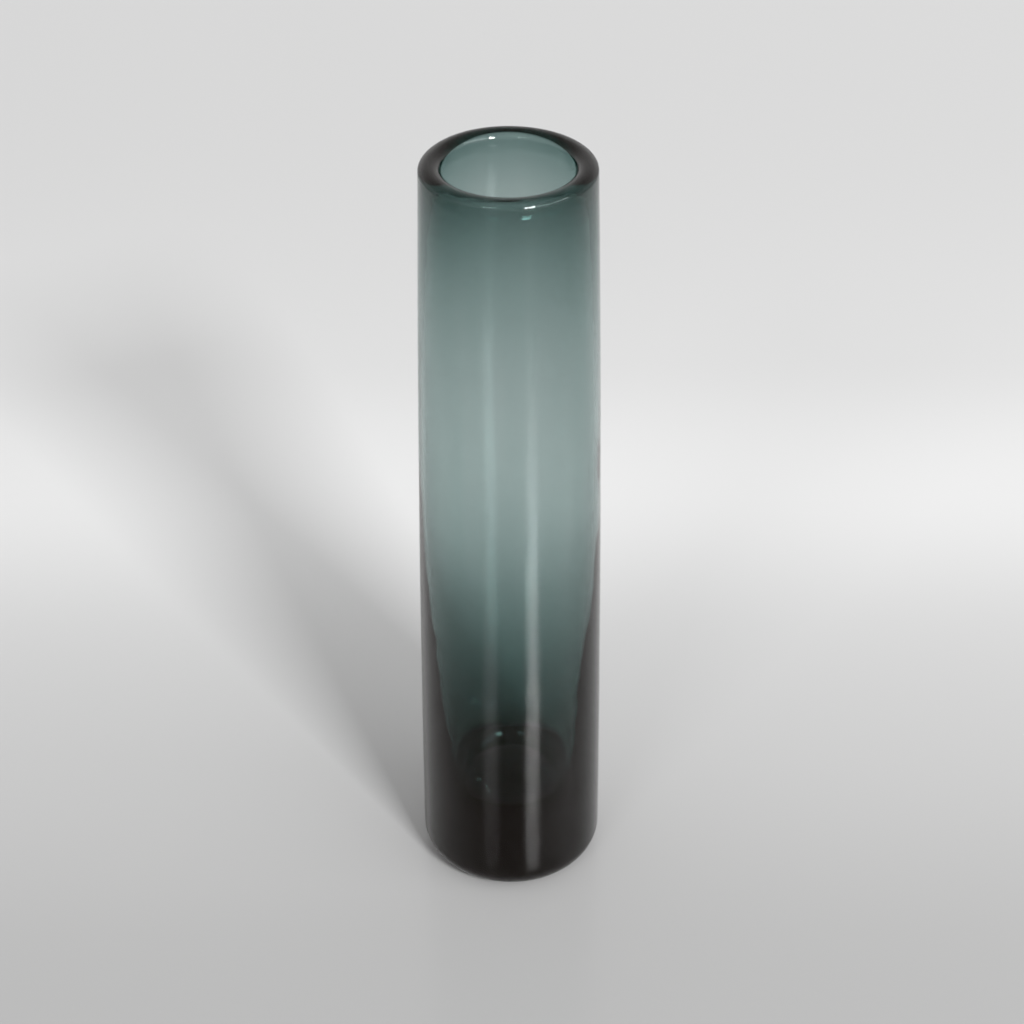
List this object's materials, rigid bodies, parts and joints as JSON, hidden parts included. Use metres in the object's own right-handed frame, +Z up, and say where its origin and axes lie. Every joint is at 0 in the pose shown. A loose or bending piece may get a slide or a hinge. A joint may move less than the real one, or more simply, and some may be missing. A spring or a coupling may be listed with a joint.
{
  "type": "glass cylinder vase",
  "caption": "Tall slightly tapered cylinder vase in smoke-tinted glass, with a thick rounded rim and a heavy solid base.",
  "frame": {"origin": "on the vase's axis, in the plane of the standing ring", "axes": "+Z up along the vase's axis, towards the mouth; +X and +Y are free, because the vase is round"},
  "size_m": [0.058, 0.058, 0.25],
  "materials": {
    "smoke_glass": "smooth fire-polished smoke-turquoise glass, pale where thin and brown-black where thick, ground matt on the standing ring"
  },
  "bodies": {
    "root": {"vase_body": "smoke_glass"}
  },
  "joints": []
}
